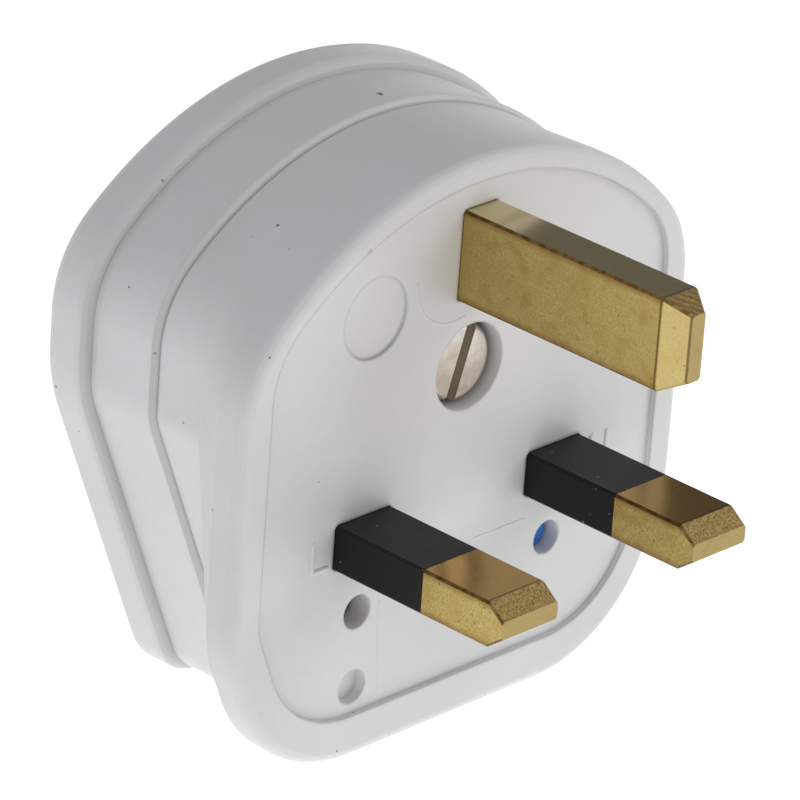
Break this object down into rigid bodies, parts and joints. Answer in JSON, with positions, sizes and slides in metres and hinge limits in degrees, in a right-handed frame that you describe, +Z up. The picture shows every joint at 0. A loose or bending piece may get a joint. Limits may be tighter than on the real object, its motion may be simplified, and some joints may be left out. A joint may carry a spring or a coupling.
{
  "type": "three pin mains plug",
  "caption": "Rewirable fused mains plug: stepped white shell, rounded pin plate, sleeved brass live and neutral pins, longer bare earth pin and a sunk slotted cover screw.",
  "frame": {"origin": "on the ground under the middle of the plug, which stands on its flat foot", "axes": "+Z up, from the cord inlet towards the earth pin; -Y out of the pin face, the way that the pins point; +X towards the neutral pin"},
  "size_m": [0.0516, 0.0466, 0.0517],
  "materials": {
    "white_plastic": "satin white moulding",
    "pin_brass": "dull, finely grained, tarnished along the edges",
    "black_plastic": "satin black",
    "plated_steel": "nickel plated",
    "fuse_ceramic": "unglazed",
    "brown_plastic": "satin",
    "blue_plastic": "satin"
  },
  "bodies": {
    "root": {"base": "white_plastic", "cover": "white_plastic", "earth_pin": "pin_brass", "neutral_pin": "pin_brass", "live_pin": "pin_brass", "live_sleeve": "black_plastic", "neutral_sleeve": "black_plastic", "live_terminal": "pin_brass", "earth_terminal_screw": "plated_steel", "neutral_terminal_screw": "plated_steel", "live_terminal_screw": "plated_steel", "fuse_tube": "fuse_ceramic", "fuse_cap_upper": "plated_steel", "fuse_cap_lower": "plated_steel", "fuse_clip_upper": "pin_brass", "fuse_clip_lower": "pin_brass", "cover_screw": "plated_steel", "screw_retainer": "black_plastic", "cover_insert": "pin_brass", "live_marker": "brown_plastic", "neutral_marker": "blue_plastic", "cord_grip_left": "white_plastic", "cord_grip_right": "white_plastic"}
  },
  "joints": []
}
